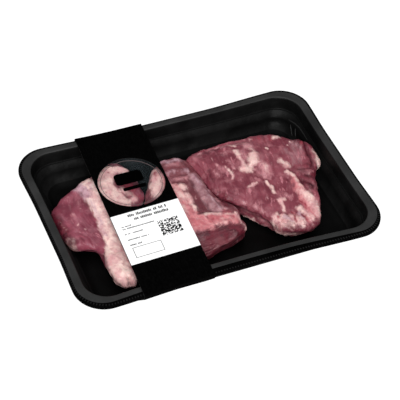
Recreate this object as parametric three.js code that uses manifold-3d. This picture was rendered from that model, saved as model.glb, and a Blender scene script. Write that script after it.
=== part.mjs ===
// Three pieces of beef in a black plastic tray, held by a card sleeve with a round window.
// Millimetres, +Z up. The origin is on the floor, under the middle of the pack.
// X runs along the tray's long side, Y from the front (-) to the back (+).

import * as THREE from 'three';
import { mergeVertices } from 'three/addons/utils/BufferGeometryUtils.js';
import Module from 'manifold-3d';

// Clearance between touching pieces
const gap = 0.3;

// Tray, measured on the outer edge at the middle of each side
const trayLength = 262;
const trayWidth = 177.5;
const trayTop = 29.5;
const plasticThickness = 0.8;
const cornerRadius = 25;
const cornerTightening = 0.55;
const flangeAtEnds = 8.2;
const flangeAtSides = 6.5;
const skirtDepth = 3;

// The rim bows in between its corners, so the corners stand out
const flareOfSides = 2.5;
const flareOfEnds = 1.1;
const flareFadeInset = 16;

// The wall meets the floor in a fillet, which starts at this inset from the flange's inner edge
const wallFootInset = 7;
const floorFillet = 12;

// The rest of the section, going up: the wall's lower part, the ledge at 11.5 mm, and the upper part.
// Each pair is an inset from the flange's inner edge and a depth under the rim.
const wallSection = [[4, 12.7], [3.5, 11.8], [2.5, 11.5], [2.2, 10.6], [1, 2], [0.5, 0.6], [-0.6, 0]];

// The flange's rolled edge, as insets from the tray's outer edge and depths under the rim
const edgeSection = [[1.7, 0], [0.7, 0.35], [0.15, 1.1], [0, skirtDepth]];

// Sleeve, label and window
const cardThickness = 0.5;
const sleeveWidth = 59.5;
const sleeveCentre = -49.4;
const sleeveSkew = 0.039;
const foldRounding = 0.35;
const foldBelowSkirt = 0.6;
const labelThickness = 0.3;
const labelEdgeInset = 0.2;
const labelFront = -58;
const labelDepth = 53.4;
const labelSlant = 0.024;
const windowCentre = [-48.6, 27];
const windowRadius = 27.8;
const filmThickness = 0.25;
const filmOverlap = 0.9;

const cardBottom = 0;
const trayBottom = cardBottom + cardThickness + gap;
const floorTop = trayBottom + plasticThickness;
const meatBottom = floorTop + gap;
const cardUnderside = trayTop + gap;
const cardTop = cardUnderside + cardThickness;

// Mesh fineness
const cornerSteps = 9;
const longSteps = 9;
const shortSteps = 6;
const filletSteps = 5;
const meatSpokes = 64;
const sleeveStations = 7;
const sleeveTopRows = [8, 26, 44, 62, 78];
const sleeveFilletTurns = [-38, -51, -64, -77, -90];
const sleeveBaseRows = [44, 22];
const windowSteps = 56;
const outlineSamples = 600;

const wasm = await Module();
wasm.setup();

function smooth(from, to, value) {
  const t = Math.min(Math.max((value - from) / (to - from), 0), 1);
  return t * t * (3 - 2 * t);
}

// How far the rim stands out of a plain rounded rectangle, as a factor on x or y
function flare(x, y, inset) {
  const fade = Math.max(1 - inset / flareFadeInset, 0);
  const side = smooth(0.3, 0.85, Math.abs(x) / (trayLength / 2));
  const end = smooth(0.3, 0.75, Math.abs(y) / (trayWidth / 2));
  return {
    x: 1 + (fade * end * flareOfEnds) / (trayLength / 2),
    y: 1 + (fade * side * flareOfSides) / (trayWidth / 2),
  };
}

function bufferGeometry(positions, triangles) {
  const geometry = new THREE.BufferGeometry();
  geometry.setAttribute('position', new THREE.Float32BufferAttribute(positions.flat(), 3));
  geometry.setIndex(triangles.flat());
  geometry.computeVertexNormals();
  return geometry;
}

// A closed skin over rings of equal count, each counter-clockwise from above, with a fan at each end
function loft(rings, firstCentre, lastCentre) {
  const count = rings[0].length;
  const positions = [...rings.flat(), firstCentre, lastCentre];
  const first = positions.length - 2;
  const last = positions.length - 1;
  const triangles = [];
  for (let i = 0; i < count; i++) {
    const next = (i + 1) % count;
    triangles.push([first, i, next]);
    for (let k = 0; k + 1 < rings.length; k++) {
      const a = k * count;
      const b = a + count;
      triangles.push([a + i, b + i, b + next], [a + i, b + next, a + next]);
    }
    const end = (rings.length - 1) * count;
    triangles.push([last, end + next, end + i]);
  }
  return bufferGeometry(positions, triangles);
}

// Points round a rounded rectangle with half sizes a and b
function roundedRectangle(a, b, radius) {
  const corners = [[1, 1], [-1, 1], [-1, -1], [1, -1]];
  const onCorner = (k, turn) => {
    const [sx, sy] = corners[k % 4];
    const angle = ((k + turn) * Math.PI) / 2;
    return [sx * (a - radius) + radius * Math.cos(angle), sy * (b - radius) + radius * Math.sin(angle)];
  };
  const points = [];
  for (let k = 0; k < 4; k++) {
    for (let i = 0; i <= cornerSteps; i++) points.push(onCorner(k, i / cornerSteps));
    const [x0, y0] = onCorner(k, 1);
    const [x1, y1] = onCorner(k + 1, 0);
    const steps = k % 2 ? shortSteps : longSteps;
    for (let i = 1; i < steps; i++) {
      const t = i / steps;
      points.push([x0 + (x1 - x0) * t, y0 + (y1 - y0) * t]);
    }
  }
  return points;
}

function trayRing(point) {
  const radius = cornerRadius - cornerTightening * point.y;
  const outline = roundedRectangle(trayLength / 2 - point.x, trayWidth / 2 - point.y, radius);
  return outline.map(([x, y]) => {
    const factor = flare(x, y, point.y);
    return [x * factor.x, y * factor.y, point.z];
  });
}

// Section points: on the rim by distance from its outer edge, or on the wall inside the flange
const onRim = (inset, depth) => ({ x: inset, y: inset, z: trayTop - depth });
const onWall = (inset, depth) => ({ x: flangeAtEnds + inset, y: flangeAtSides + inset, z: trayTop - depth });

function trayTopSection() {
  const section = [];
  const floorDepth = trayTop - floorTop;
  for (let i = 0; i <= filletSteps; i++) {
    const angle = (i / filletSteps) * (Math.PI / 2);
    const inset = wallFootInset + floorFillet * (1 - Math.sin(angle));
    section.push(onWall(inset, floorDepth - floorFillet * (1 - Math.cos(angle))));
  }
  for (const [inset, depth] of wallSection) section.push(onWall(inset, depth));
  for (const [inset, depth] of edgeSection) section.push(onRim(inset, depth));
  return section;
}

// The underside: every section point moved through the plastic, square to the surface
function underside(section) {
  const moved = section.map((point, i) => {
    const before = section[Math.max(i - 1, 0)];
    const after = section[Math.min(i + 1, section.length - 1)];
    const run = after.y - before.y;
    const rise = after.z - before.z;
    const scale = plasticThickness / Math.hypot(run, rise);
    return { x: point.x - rise * scale, y: point.y - rise * scale, z: point.z + run * scale };
  });
  return moved.reverse();
}

function trayGeometry() {
  const section = trayTopSection();
  const rings = [...section, ...underside(section)].map(trayRing);
  return loft(rings, [0, 0, floorTop], [0, 0, trayBottom]);
}

// Sleeve section in Y and Z: half of the loop, from the top's middle over the rim to the base's middle
function halfLoop(offset) {
  const rimEdge = trayWidth / 2 + gap + offset;
  const filletCentre = trayWidth / 2 - flangeAtSides - wallFootInset - floorFillet;
  const filletRadius = floorFillet + plasticThickness + gap + offset;
  const top = cardUnderside + offset;
  const points = [];
  for (const y of sleeveTopRows) points.push({ y, z: top, rim: true });
  points.push({ y: rimEdge - foldRounding, z: top, rim: true });
  points.push({ y: rimEdge, z: top - foldRounding, rim: true });
  points.push({ y: rimEdge, z: trayTop - skirtDepth - foldBelowSkirt, rim: true });
  for (const turn of sleeveFilletTurns) {
    const angle = THREE.MathUtils.degToRad(turn);
    const y = filletCentre + filletRadius * Math.cos(angle);
    points.push({ y, z: trayBottom + floorFillet + plasticThickness + filletRadius * Math.sin(angle) });
  }
  for (const y of sleeveBaseRows) points.push({ y, z: trayBottom - gap - offset });
  return points;
}

function sleeveLoop(offset) {
  const back = halfLoop(offset);
  const middleTop = { y: 0, z: cardUnderside + offset, rim: true };
  const middleBase = { y: 0, z: trayBottom - gap - offset };
  const front = back.map((point) => ({ ...point, y: -point.y })).reverse();
  return [middleTop, ...back, middleBase, ...front];
}

function sleevePoint(point, u) {
  const x = sleeveCentre + u + sleeveSkew * point.y;
  const rise = point.rim ? flare(x, point.y, 0).y : 1;
  return [x, point.y * rise, point.z];
}

// A strip bent into a closed loop: an inner and an outer face, and two cut edges
function sleeveBand() {
  const inner = sleeveLoop(0);
  const outer = sleeveLoop(cardThickness);
  const positions = [];
  for (const loop of [inner, outer]) {
    for (const point of loop) {
      for (let j = 0; j < sleeveStations; j++) {
        positions.push(sleevePoint(point, (j / (sleeveStations - 1) - 0.5) * sleeveWidth));
      }
    }
  }
  const count = inner.length;
  const at = (face, m, j) => (face * count + (m % count)) * sleeveStations + j;
  const lastStation = sleeveStations - 1;
  const triangles = [];
  const quad = (a, b, c, d) => triangles.push([a, b, c], [a, c, d]);
  for (let m = 0; m < count; m++) {
    for (let j = 0; j < lastStation; j++) {
      quad(at(1, m, j), at(1, m, j + 1), at(1, m + 1, j + 1), at(1, m + 1, j));
      quad(at(0, m, j), at(0, m + 1, j), at(0, m + 1, j + 1), at(0, m, j + 1));
    }
    quad(at(0, m, 0), at(1, m, 0), at(1, m + 1, 0), at(0, m + 1, 0));
    quad(at(0, m, lastStation), at(0, m + 1, lastStation), at(1, m + 1, lastStation), at(1, m, lastStation));
  }
  return bufferGeometry(positions, triangles);
}

// An upright disc with the window's outline, grown by margin
function windowDisc(margin, bottom, height) {
  const radius = windowRadius + margin;
  const geometry = new THREE.CylinderGeometry(radius, radius, height, windowSteps);
  geometry.rotateX(Math.PI / 2);
  return geometry.translate(windowCentre[0], windowCentre[1], bottom + height / 2);
}

function toSolid(geometry) {
  const bare = geometry.clone();
  bare.deleteAttribute('normal');
  bare.deleteAttribute('uv');
  const merged = mergeVertices(bare, 1e-4);
  const vertProperties = Float32Array.from(merged.attributes.position.array);
  const triVerts = Uint32Array.from(merged.index.array);
  return new wasm.Manifold(new wasm.Mesh({ numProp: 3, vertProperties, triVerts }));
}

function fromSolid(solid) {
  const mesh = solid.getMesh();
  const geometry = new THREE.BufferGeometry();
  geometry.setAttribute('position', new THREE.BufferAttribute(Float32Array.from(mesh.vertProperties), 3));
  geometry.setIndex(Array.from(mesh.triVerts));
  geometry.computeVertexNormals();
  return geometry;
}

function sleeveGeometry() {
  const hole = windowDisc(0, cardUnderside - 2, cardThickness + 4);
  return fromSolid(toSolid(sleeveBand()).subtract(toSolid(hole)));
}

// The label covers the sleeve from edge to edge, and its front and back edges slant a little
function labelGeometry() {
  const shape = new THREE.Shape();
  const corner = (side, y) => {
    const x = sleeveCentre + side * (sleeveWidth / 2 - labelEdgeInset) + sleeveSkew * y;
    return [x, y + side * labelSlant * (sleeveWidth / 2)];
  };
  shape.moveTo(...corner(-1, labelFront));
  shape.lineTo(...corner(1, labelFront));
  shape.lineTo(...corner(1, labelFront + labelDepth));
  shape.lineTo(...corner(-1, labelFront + labelDepth));
  const geometry = new THREE.ExtrudeGeometry(shape, { depth: labelThickness, bevelEnabled: false });
  return geometry.translate(0, 0, cardTop + gap);
}

function filmGeometry() {
  return windowDisc(filmOverlap, cardUnderside - gap - filmThickness, filmThickness);
}

// Meat: a lying slab with round edges. Its outline is a smooth closed curve round a centre point,
// its top is a height over the floor that tilts and carries a few broad swellings.
const leftPiece = {
  centre: [-80, 2],
  outline: [
    [-51.5, 61], [-62, 59], [-74, 51.5], [-87, 46], [-101.5, 36.5], [-113.5, 29.5], [-116.2, 21], [-116.2, 5],
    [-114, -6.5], [-105.5, -15], [-97.5, -20.5], [-93.5, -30], [-94.5, -43], [-92, -57], [-85.5, -65],
    [-77.5, -64.5], [-70, -48], [-60, -27], [-54.5, -9], [-49.5, 7], [-41, 20], [-39.5, 30], [-40.5, 42],
    [-44.5, 53.5],
  ],
  height: 19,
  tilt: [0.02, 0.06],
  swellings: [[-68, 20, 20, 3.5], [-82, -45, 16, 1.5], [-101, 12, 15, 2]],
};

const middlePiece = {
  centre: [-13, -4],
  outline: [
    [-14, 49.5], [-23.5, 42.5], [-29, 35], [-34, 27], [-38, 18], [-46, 4], [-50.5, -10], [-54, -30],
    [-48, -49], [-33, -57], [-10, -56.5], [8, -50.5], [18, -46], [26.5, -41], [29.5, -34], [28.5, -25],
    [22, -14.5], [15.2, -4.5], [11.8, 8], [9.8, 22], [7.5, 36], [4, 45.5], [-3, 50],
  ],
  height: 22,
  tilt: [-0.02, 0.02],
  swellings: [[-8, -26, 22, 2], [-12, 22, 20, 2]],
};

const rightPiece = {
  centre: [66, 4],
  outline: [
    [8, 44], [10.5, 36], [12.5, 22], [14.5, 8], [18, -3], [25, -12], [33.5, -21.5], [41.5, -32], [48, -41.5],
    [55, -52.5], [67, -60], [82, -58], [88, -52], [96, -38.5], [98.5, -27], [105, -8], [111, 1],
    [115.6, 10.5], [116.4, 20.5], [112.4, 29.5], [101.5, 37.5], [83.5, 48], [54, 52], [34, 51], [17, 48.5],
  ],
  height: 22.5,
  tilt: [-0.02, 0.045],
  swellings: [[50, 22, 30, 2.5], [96, -20, 18, 1.5], [74, -44, 14, -2]],
};

// The slab's round side, as [inset from the outline, share of the height], and the rings on its top
const slabSide = [[12, 0], [8, 0.1], [4.6, 0.3], [2.6, 0.52], [0, 0.7], [0.7, 0.84], [3, 0.955]];
const slabShoulder = 7.5;
const slabTop = [1, 0.8, 0.58, 0.36, 0.15];

// Fine waves on the tops of the cuts, as [height, turn per mm along X, turn per mm along Y]
const waves = [[0.35, 0.19, 0.11], [0.3, -0.088, 0.213]];

function reachOf(piece, spoke) {
  const curve = new THREE.CatmullRomCurve3(
    piece.outline.map(([x, y]) => new THREE.Vector3(x, y, 0)), true, 'centripetal');
  const samples = curve.getPoints(outlineSamples);
  const angle = (spoke / meatSpokes) * 2 * Math.PI;
  let best = samples[0];
  let bestTurn = Infinity;
  for (const sample of samples) {
    const direction = Math.atan2(sample.y - piece.centre[1], sample.x - piece.centre[0]);
    const turn = Math.abs(Math.atan2(Math.sin(direction - angle), Math.cos(direction - angle)));
    if (turn < bestTurn) {
      bestTurn = turn;
      best = sample;
    }
  }
  return Math.hypot(best.x - piece.centre[0], best.y - piece.centre[1]);
}

function meatHeight(piece, x, y) {
  const lean = piece.tilt[0] * (x - piece.centre[0]) + piece.tilt[1] * (y - piece.centre[1]);
  let height = piece.height + lean;
  for (const [rise, alongX, alongY] of waves) height += rise * Math.sin(alongX * x + alongY * y);
  for (const [cx, cy, spread, lift] of piece.swellings) {
    const far = ((x - cx) ** 2 + (y - cy) ** 2) / (spread * spread);
    height += lift * Math.exp(-far);
  }
  return height;
}

function meatRing(piece, radii, rise) {
  return radii.map((radius, i) => {
    const angle = (i / meatSpokes) * 2 * Math.PI;
    const x = piece.centre[0] + radius * Math.cos(angle);
    const y = piece.centre[1] + radius * Math.sin(angle);
    return [x, y, meatBottom + rise * meatHeight(piece, x, y)];
  });
}

function meatGeometry(piece) {
  const reaches = Array.from({ length: meatSpokes }, (_, i) => reachOf(piece, i));
  const rings = [];
  for (const share of [...slabTop].reverse()) {
    rings.push(meatRing(piece, reaches.map((reach) => (reach - slabShoulder) * share), 1));
  }
  for (const [inset, rise] of [...slabSide].reverse()) {
    rings.push(meatRing(piece, reaches.map((reach) => reach - inset), rise));
  }
  const [x, y] = piece.centre;
  return loft(rings, [x, y, meatBottom + meatHeight(piece, x, y)], [x, y, meatBottom]);
}

// Materials
const material = (color, roughness, extra = {}) =>
  new THREE.MeshStandardMaterial({ color, roughness, metalness: 0, ...extra });

const blackPlastic = () => material(0x161616, 0.35);
const blackCard = () => material(0x060606, 0.7);
const labelPaper = () => material(0xf4f4f2, 0.75);
const clearFilm = () => material(0xdfe6e8, 0.1, { transparent: true, opacity: 0.25 });
const beef = (color) => material(color, 0.35);

const pack = new THREE.Group();

function add(name, geometry, finish) {
  const mesh = new THREE.Mesh(geometry, finish);
  mesh.name = name;
  pack.add(mesh);
}

add('tray', trayGeometry(), blackPlastic());
add('sleeve', sleeveGeometry(), blackCard());
add('label', labelGeometry(), labelPaper());
add('window_film', filmGeometry(), clearFilm());
add('meat_left', meatGeometry(leftPiece), beef(0xc08a8c));
add('meat_middle', meatGeometry(middlePiece), beef(0xae6a72));
add('meat_right', meatGeometry(rightPiece), beef(0x97525f));

export default pack;
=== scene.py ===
"""Looks of the meat tray pack: finer pieces for its tray, sleeve, label, film and cuts of beef.

Lengths are in millimetres here and become metres when a mesh is made. +X is the tray's long side,
+Y goes to the back and +Z up, as in the frame.
"""

import math
import random

import bpy
import numpy as np
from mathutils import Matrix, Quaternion, Vector
from mathutils.bvhtree import BVHTree


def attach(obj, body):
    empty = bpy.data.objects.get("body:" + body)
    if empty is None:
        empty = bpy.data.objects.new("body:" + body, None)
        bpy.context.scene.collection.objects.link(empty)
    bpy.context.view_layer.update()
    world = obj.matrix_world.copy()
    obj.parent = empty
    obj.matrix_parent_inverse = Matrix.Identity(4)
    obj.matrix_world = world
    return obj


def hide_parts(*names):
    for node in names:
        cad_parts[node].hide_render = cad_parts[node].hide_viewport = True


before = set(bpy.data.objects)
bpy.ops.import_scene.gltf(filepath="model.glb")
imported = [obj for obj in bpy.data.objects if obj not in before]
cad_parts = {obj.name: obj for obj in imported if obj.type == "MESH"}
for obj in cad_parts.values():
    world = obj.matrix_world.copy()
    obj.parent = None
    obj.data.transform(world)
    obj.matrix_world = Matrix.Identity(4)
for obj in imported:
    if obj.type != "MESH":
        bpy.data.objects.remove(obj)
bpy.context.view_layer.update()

MM = 0.001
UP = Vector((0, 0, 1))

# Camera, from the photo's perspective
CAMERA_PLACE = (-366.4, -763.7, 901.4)
CAMERA_TARGET = (-3.1, -10.7, 29.5)
CAMERA_ROLL = 4.24
CAMERA_LENS = 133.2

# Tray, the same sizes as in the frame
TRAY_LENGTH = 262
TRAY_WIDTH = 177.5
TRAY_TOP = 29.5
TRAY_FLOOR = 1.6
PLASTIC = 0.8
CORNER_RADIUS = 25
CORNER_TIGHTENING = 0.55
FLANGE_AT_ENDS = 8.2
FLANGE_AT_SIDES = 6.5
FLARE_OF_SIDES = 2.5
FLARE_OF_ENDS = 1.1
FLARE_FADE = 16
WALL_FOOT = 7
FLOOR_FILLET = 12

# The wall from the fillet up, as (inset, depth under the rim)
WALL_SECTION = [
    (4.0, 12.7), (3.65, 12.1), (3.45, 11.75), (3.1, 11.55), (2.5, 11.5), (2.3, 11.3), (2.2, 10.9),
    (2.15, 10.3), (1.55, 6.0), (1.0, 2.0), (0.8, 1.2), (0.5, 0.6), (0.1, 0.2), (-0.6, 0.0),
]

# Knurled line along the rim: short ribs over the dark rolled edge
RIB_INSET = 1.0
RIB_LENGTH = 1.2
RIB_PITCH = 2.2
RIB_HEIGHT = 0.22

# Steps of the tray's rings and of its fillet
CORNER_STEPS = 16
LONG_STEPS = 30
SHORT_STEPS = 20
FILLET_STEPS = 10

# The dark edge is wider along the front, where the flange's flat part lies further in
FRONT_EDGE = 4.0
FRONT_EDGE_REACH = 135
FLAT_INSET = 2.3

# The rolled edge, as (inset, depth under the rim)
EDGE_SECTION = [
    (FLAT_INSET, 0.0), (1.9, 0.02), (1.3, 0.08), (0.75, 0.32), (0.35, 0.75), (0.12, 1.25), (0.0, 2.0),
    (0.0, 3.0),
]

# Slim ridges of the lighter flange plastic in the wall of the back right corner, as paths: painted
# highlights along the wall's ledge and corner curve
RIDGE_RADIUS = 0.5
RIDGE_SIDES = 8
RIDGE_STEPS = 4
CORNER_HIGHLIGHT_PATHS = [
    [(114.3, 66.4, 14.0), (115.7, 63.5, 14.3), (117.2, 59, 15), (118.1, 52, 15.9), (118.2, 44, 16.1),
     (118, 36, 15.9)],
    [(114.8, 62.6, 11.5), (114.3, 58.9, 8.3), (112.7, 53.5, 5.8)],
    [(115.9, 54.8, 13.2), (115.2, 52.8, 9.8), (114.1, 49.9, 7.7)],
]

# Sleeve, label and window
CARD_BOTTOM = 0.0
CARD_TOP = 30.3
CARD = 0.5
CARD_GAP = 0.3
SLEEVE_WIDTH = 59.5
SLEEVE_CENTRE = -49.4
SLEEVE_SKEW = 0.039
STATIONS = 15
LABEL_FRONT = -58
LABEL_DEPTH = 53.4
LABEL_SLANT = 0.024
LABEL_BOTTOM = 30.6
LABEL_TOP = LABEL_BOTTOM + 0.3
WINDOW = (-48.6, 27)
WINDOW_RADIUS = 27.8
WINDOW_STEPS = 128
FILM_TOP = 29.5
FILM_RADIUS = 28.7
FILM_THICKNESS = 0.2

# Print on the label: text lines as plain bars, (u, v, length, height), a box and a square of cells
INK_TOP = LABEL_TOP + 0.04
TITLE_STROKE = 0.95
TITLE_BARS = [(14, 48.4, 33, 3.0), (16.5, 43.8, 30, 3.0)]
TEXT_STROKE = 0.62
TEXT_BARS = [
    (5.5, 39.2, 8, 1.3), (5.5, 36.6, 27, 1.3), (5.5, 31.0, 15.5, 1.3), (6.0, 24.6, 18, 1.3),
    (6.0, 18.8, 9.5, 1.5),
]
WORD_GAPS = 0.14
FRAME_BOX = (6.5, 5.5, 31, 16.5)
FRAME_LINE = 0.5
CODE_BOX = (34.5, 19.5, 52, 36)
CODE_CELLS = 21
CODE_FILL = 0.6

# Print on the film: a plain badge and bar, measured from the window's centre, and a thin ring
WINDOW_INK_TOP = FILM_TOP + 0.05
BADGE = (-12.5, -0.5, 11.5, 12.5)
BADGE_BAR = (-9.0, -7.8, 11.0, -4.0)
RING_RADIUS = 25.2
RING_WIDTH = 0.45


def srgb(red, green, blue):
    """A colour as the eye reads it, 0 to 255, as linear numbers."""
    linear = []
    for value in (red, green, blue):
        part = value / 255
        linear.append(part / 12.92 if part <= 0.04045 else ((part + 0.055) / 1.055) ** 2.4)
    return (*linear, 1)


def grey(value):
    return srgb(value, value, value)


# Mesh helpers


def new_object(name, data):
    made = bpy.data.objects.new(name, data)
    bpy.context.scene.collection.objects.link(made)
    return made


def mesh_object(name, points, faces, material):
    mesh = bpy.data.meshes.new(name)
    mesh.from_pydata([tuple(c * MM for c in p) for p in points], [], faces)
    mesh.validate()
    mesh.materials.append(material)
    return new_object(name, mesh)


def apply_modifiers(piece):
    """The piece keeps the mesh that its modifiers make, and loses the modifiers."""
    graph = bpy.context.evaluated_depsgraph_get()
    done = bpy.data.meshes.new_from_object(piece.evaluated_get(graph))
    piece.modifiers.clear()
    piece.data = done


def settle(piece, slot, *nodes):
    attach(piece, "root")
    if nodes:
        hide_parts(*nodes)


def smoothstep(low, high, value):
    t = np.clip((value - low) / (high - low), 0, 1)
    return t * t * (3 - 2 * t)


def lattice_noise(points, seed):
    """Smooth noise from -1 to 1 at points, one cell a unit."""
    cell = np.floor(points).astype(np.int64)
    local = points - cell
    ease = local * local * (3 - 2 * local)
    total = np.zeros(len(points))
    for corner in range(8):
        step = np.array([corner & 1, corner >> 1 & 1, corner >> 2 & 1])
        at = cell + step
        mixed = at[:, 0] * 73856093 ^ at[:, 1] * 19349663 ^ at[:, 2] * 83492791 ^ seed * 2654435761
        mixed = (mixed ^ mixed >> 13) * 1274126177 & 0x7FFFFFFF
        value = (mixed ^ mixed >> 16) % 65536 / 32768 - 1
        weight = np.where(step == 1, ease, 1 - ease).prod(axis=1)
        total += value * weight
    return total


# Node helpers


def new_material(name):
    material = bpy.data.materials.new(name)
    material.use_nodes = True
    tree = material.node_tree
    shader = tree.nodes["Principled BSDF"]
    return material, tree, shader


def feed(tree, node, inputs):
    """Each input is linked to its value if that is a socket, or else set to it."""
    for key, value in inputs.items():
        if isinstance(value, bpy.types.NodeSocket):
            tree.links.new(value, node.inputs[key])
        else:
            node.inputs[key].default_value = value


def add(tree, kind, inputs=None, **settings):
    node = tree.nodes.new(kind)
    for key, value in settings.items():
        setattr(node, key, value)
    feed(tree, node, inputs or {})
    return node


def mix(tree, factor, first, second):
    """Two colours mixed by a factor; each may be a colour or a socket."""
    return add(tree, "ShaderNodeMix", {0: factor, 6: first, 7: second}, data_type="RGBA").outputs[2]


def math_node(tree, operation, first, second):
    return add(tree, "ShaderNodeMath", {0: first, 1: second}, operation=operation).outputs[0]


def noise(tree, scale, detail, vector=None, stretch=None, rough=0.55):
    if vector is None:
        vector = add(tree, "ShaderNodeTexCoord").outputs["Object"]
    if stretch:
        vector = add(tree, "ShaderNodeMapping", {"Vector": vector, "Scale": stretch}).outputs[0]
    inputs = {"Vector": vector, "Scale": scale, "Detail": detail, "Roughness": rough}
    return add(tree, "ShaderNodeTexNoise", inputs).outputs["Fac"]


def ramp(tree, value, low, high, out_low=0.0, out_high=1.0):
    inputs = {"Value": value, "From Min": low, "From Max": high, "To Min": out_low, "To Max": out_high}
    return add(tree, "ShaderNodeMapRange", inputs, interpolation_type="SMOOTHSTEP").outputs[0]


def bump(tree, shader, height, distance, strength=1.0):
    inputs = {"Height": height, "Distance": distance, "Strength": strength}
    tree.links.new(add(tree, "ShaderNodeBump", inputs).outputs[0], shader.inputs["Normal"])


def attribute(tree, name):
    return add(tree, "ShaderNodeAttribute", attribute_name=name)


# Materials

# Black plastics of the tray, as (dark grey, light grey, roughness, shine, share of broad waves). They are
# one black plastic, toned by zone for how light falls: the flange lighter as a painted sheen of the light
# above, the floor darker as painted shade at the bottom of the tray, and the rolled edge with the underside
# nearly black as painted shade.
PLASTICS = {
    "flange": (28, 41, 0.45, 0.28, 0),
    "rib": (9, 18, 0.45, 0.12, 0),
    "inner": (10, 19, 0.38, 0.085, 60),
    "floor": (3, 6, 0.4, 0.05, 0),
    "outer": (0, 4, 0.5, 0.01, 0),
}


def plastic(zone):
    dark, light, rough, shine, waves = PLASTICS[zone]
    material, tree, shader = new_material(zone + "_plastic")
    cloud = noise(tree, 38, 4)
    grain = noise(tree, 1500, 2)
    feed(tree, shader, {
        "Base Color": mix(tree, ramp(tree, cloud, 0.35, 0.7), grey(dark), grey(light)),
        "Roughness": ramp(tree, cloud, 0.3, 0.7, rough, rough + 0.12),
        "Specular IOR Level": shine,
    })
    bump(tree, shader, math_node(tree, "ADD", grain, math_node(tree, "MULTIPLY", cloud, waves)), 0.00003)
    return material


def dull(name, scale, detail, spread, tones, rough, shine=0.5, height=0, stretch=None):
    """Card, paper or ink: two close tones in fine noise, which may also be its relief."""
    material, tree, shader = new_material(name)
    fibre = noise(tree, scale, detail, stretch=stretch)
    feed(tree, shader, {
        "Base Color": mix(tree, ramp(tree, fibre, *spread), *tones),
        "Roughness": rough,
        "Specular IOR Level": shine,
    })
    if height:
        bump(tree, shader, fibre, height)
    return material


def black_card():
    tones = (grey(0), grey(4))
    return dull("black_card", 900, 4, (0.35, 0.75), tones, 0.9, 0.02, 0.00004, stretch=(1, 0.35, 1))


def card_core():
    return dull("card_core", 1400, 4, (0.3, 0.7), (grey(6), grey(16)), 0.95, height=0.00006)


def label_paper():
    return dull("label_paper", 1100, 4, (0.3, 0.7), (grey(250), grey(255)), 0.55, height=0.00002)


def ink(name, dark, light, shine=0.04):
    return dull(name, 2600, 3, (0.35, 0.75), (dark, light), 0.8, shine)


def clear_film():
    material, tree, shader = new_material("clear_film")
    streak = noise(tree, 60, 3, stretch=(1, 0.3, 1))
    feed(tree, shader, {
        # Painted reflection: the pale grey-blue base colour at low alpha lays a haze over the window that
        # stands in for the film's reflection of the light; the film's own gloss comes from its roughness
        "Base Color": srgb(146, 164, 172),
        "Alpha": ramp(tree, streak, 0.3, 0.75, 0.008, 0.026),
        "Roughness": ramp(tree, streak, 0.3, 0.7, 0.12, 0.22),
    })
    bump(tree, shader, streak, 0.0001)
    return material


# Tissues that the marks lay on the lean, from the lowest layer up, as (light, dim). The dark tone is mostly
# painted shade rather than a tissue, with some real darker lean.
TONES = {
    "pale": ((194, 134, 140), (158, 92, 102)),
    "dark": ((96, 28, 42), (62, 14, 26)),
    "silver": ((162, 118, 124), (126, 78, 86)),
    "pink": ((208, 134, 138), (176, 90, 98)),
    "fat": ((224, 188, 182), (204, 148, 151)),
    "cream": ((240, 208, 200), (206, 156, 156)),
    "lilac": ((198, 160, 170), (160, 112, 124)),
    "red": ((158, 60, 74), (118, 32, 46)),
}


def ragged(tree, tissue, edge):
    """How much a tissue covers, its edges broken up by noise."""
    shift = math_node(tree, "MULTIPLY", math_node(tree, "SUBTRACT", edge, 0.5), 1.5)
    return ramp(tree, math_node(tree, "ADD", attribute(tree, tissue).outputs["Fac"], shift), 0.14, 0.86)


def meat_material(name, lean, deep, dusty):
    """Beef: lean with grain and marbling, the tissues that the marks lay on it, and painted shade from the
    dark marks and in the hollows.
    """
    material, tree, shader = new_material(name)
    grain_space = attribute(tree, "grain").outputs["Vector"]
    broad = noise(tree, 48, 3)
    soft = noise(tree, 120, 3)
    patchy = noise(tree, 240, 4, rough=0.6)
    torn = noise(tree, 1.0, 5, grain_space, (240, 120, 240), rough=0.68)
    strand = noise(tree, 1.0, 3, grain_space, (190, 42, 190))
    fibre = noise(tree, 1.0, 3, grain_space, (560, 90, 560))
    vein = noise(tree, 1.0, 4, grain_space, (230, 80, 230), rough=0.6)
    speck = noise(tree, 620, 3)

    colour = mix(tree, ramp(tree, broad, 0.36, 0.64), deep, lean)
    colour = mix(tree, ramp(tree, soft, 0.48, 0.7, 0, 0.6), colour, dusty)
    colour = mix(tree, ramp(tree, strand, 0.48, 0.68, 0, 0.5), colour, deep)
    colour = mix(tree, ramp(tree, fibre, 0.5, 0.72, 0, 0.2), colour, dusty)
    colour = mix(tree, ramp(tree, vein, 0.61, 0.7, 0, 0.6), colour, srgb(200, 128, 138))
    for tissue, tones in TONES.items():
        light, dim = [srgb(*tone) for tone in tones]
        tone = mix(tree, ramp(tree, soft, 0.4, 0.64, 0, 0.8), light, dim)
        tone = mix(tree, ramp(tree, patchy, 0.5, 0.64, 0, 0.5), tone, dim)
        tone = mix(tree, ramp(tree, speck, 0.55, 0.7, 0, 0.4), tone, light)
        colour = mix(tree, ragged(tree, tissue, torn), colour, tone)
    # Painted shade: the bottoms of grooves and other low places darken to a deep red
    colour = mix(tree, attribute(tree, "hollow_shade").outputs["Fac"], colour, srgb(66, 16, 28))

    feed(tree, shader, {
        "Base Color": colour,
        "Roughness": ramp(tree, patchy, 0.3, 0.7, 0.3, 0.5),
        "Specular IOR Level": 0.3,
        "Coat Weight": 0.08,
        "Coat Roughness": 0.14,
        "Subsurface Weight": 0.08,
        "Subsurface Radius": (1.0, 0.35, 0.25),
        "Subsurface Scale": 0.0015,
    })
    height = math_node(tree, "ADD", fibre, math_node(tree, "MULTIPLY", speck, 0.7))
    bump(tree, shader, height, 0.0005, 0.8)
    return material


# Tray


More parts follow.
